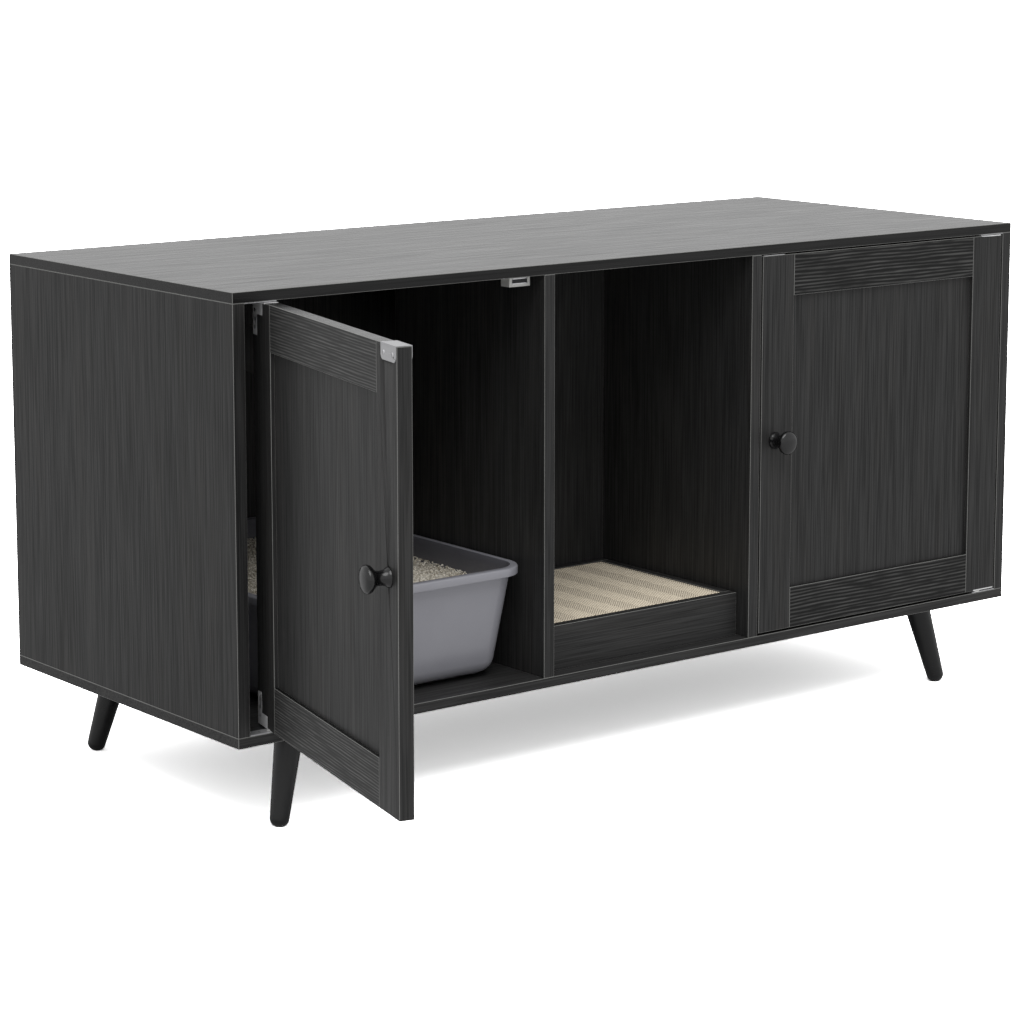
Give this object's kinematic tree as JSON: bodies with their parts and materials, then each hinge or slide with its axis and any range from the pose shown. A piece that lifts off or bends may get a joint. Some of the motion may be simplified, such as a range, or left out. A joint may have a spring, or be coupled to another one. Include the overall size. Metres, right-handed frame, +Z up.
{
  "type": "cat litter box cabinet",
  "caption": "Low black wood-grain cabinet on splayed legs: a litter bay with pan behind one framed door, an open bay with a doorway and scratching tray, and a storage bay behind the other door.",
  "frame": {"origin": "on the floor, under the middle of the carcass", "axes": "+Z up, +Y from the front to the rear, +X to the right of someone facing the front"},
  "size_m": [1.2708, 0.8411, 0.606],
  "materials": {
    "black_laminate": "embossed wood-grain melamine",
    "black_door_frame": "embossed wood-grain foil",
    "black_leg": "satin lacquer",
    "knob_lacquer": "gloss",
    "pan_plastic": "fine moulded texture",
    "litter_granules": "loose granules",
    "mat_weave": "woven sisal",
    "fibreboard": "raw",
    "beech_dowel": "raw",
    "bright_steel": "nickel plated",
    "zinc_cam": "die cast",
    "cap_plastic": "satin",
    "catch_plastic": "satin",
    "ferrite": "matt"
  },
  "bodies": {
    "carcass": {"top_panel": "black_laminate", "bottom_panel": "black_laminate", "left_side_panel": "black_laminate", "right_side_panel": "black_laminate", "left_divider": "black_laminate", "right_divider": "black_laminate", "centre_back_panel": "black_laminate", "back_panel": "black_laminate", "front_left_leg": "black_leg", "front_right_leg": "black_leg", "back_left_leg": "black_leg", "back_right_leg": "black_leg", "dowels": "beech_dowel", "cam_bolts": "bright_steel", "cam_locks": "zinc_cam", "cam_caps": "cap_plastic", "leg_plates": "bright_steel", "leg_bolts": "bright_steel", "leg_plate_screws": "bright_steel", "left_door_upper_pivot_bracket": "bright_steel", "left_door_lower_pivot_bracket": "bright_steel", "right_door_upper_pivot_bracket": "bright_steel", "right_door_lower_pivot_bracket": "bright_steel", "pivot_bracket_screws": "bright_steel", "pivot_washers": "catch_plastic", "left_door_catch_housing": "catch_plastic", "right_door_catch_housing": "catch_plastic", "catch_magnets": "ferrite", "catch_pole_plates": "bright_steel", "catch_screws": "bright_steel", "back_panel_nails": "bright_steel"},
    "left_door": {"left_door_hinge_stile": "black_door_frame", "left_door_lock_stile": "black_door_frame", "left_door_bottom_rail": "black_door_frame", "left_door_top_rail": "black_door_frame", "left_door_panel": "black_door_frame", "left_door_knob": "knob_lacquer", "left_door_strike_plate": "bright_steel", "left_door_screws": "bright_steel", "left_door_upper_hinge_plate": "bright_steel", "left_door_lower_hinge_plate": "bright_steel"},
    "right_door": {"right_door_hinge_stile": "black_door_frame", "right_door_lock_stile": "black_door_frame", "right_door_bottom_rail": "black_door_frame", "right_door_top_rail": "black_door_frame", "right_door_panel": "black_door_frame", "right_door_knob": "knob_lacquer", "right_door_strike_plate": "bright_steel", "right_door_screws": "bright_steel", "right_door_upper_hinge_plate": "bright_steel", "right_door_lower_hinge_plate": "bright_steel"},
    "litter_tub": {"litter_pan": "pan_plastic", "litter_fill": "litter_granules"},
    "scratch_tray": {"tray_front_board": "black_laminate", "tray_back_board": "black_laminate", "tray_left_board": "black_laminate", "tray_right_board": "black_laminate", "tray_base": "fibreboard"},
    "mat_insert": {"mat_board": "fibreboard", "scratch_mat": "mat_weave"}
  },
  "joints": [
    {"name": "left_door_hinge", "type": "hinge", "parent": "carcass", "child": "left_door", "pos_m": [-0.554, -0.235, 0.35], "axis": [0, 0, 1], "range_deg": [-6.4, 103.6]},
    {"name": "right_door_hinge", "type": "hinge", "parent": "carcass", "child": "right_door", "pos_m": [0.554, -0.235, 0.35], "axis": [0, 0, -1], "range_deg": [-110, 0]},
    {"name": "litter_pan_slide", "type": "slide", "parent": "carcass", "child": "litter_tub", "axis": [0, 1, 0], "range_m": [-0.42, 0.004]},
    {"name": "scratch_tray_slide", "type": "slide", "parent": "carcass", "child": "scratch_tray", "axis": [0, 1, 0], "range_m": [-0.24, 0]},
    {"name": "scratch_mat_lift", "type": "slide", "parent": "scratch_tray", "child": "mat_insert", "axis": [0, 0, -1], "range_m": [-0.1, 0]}
  ]
}
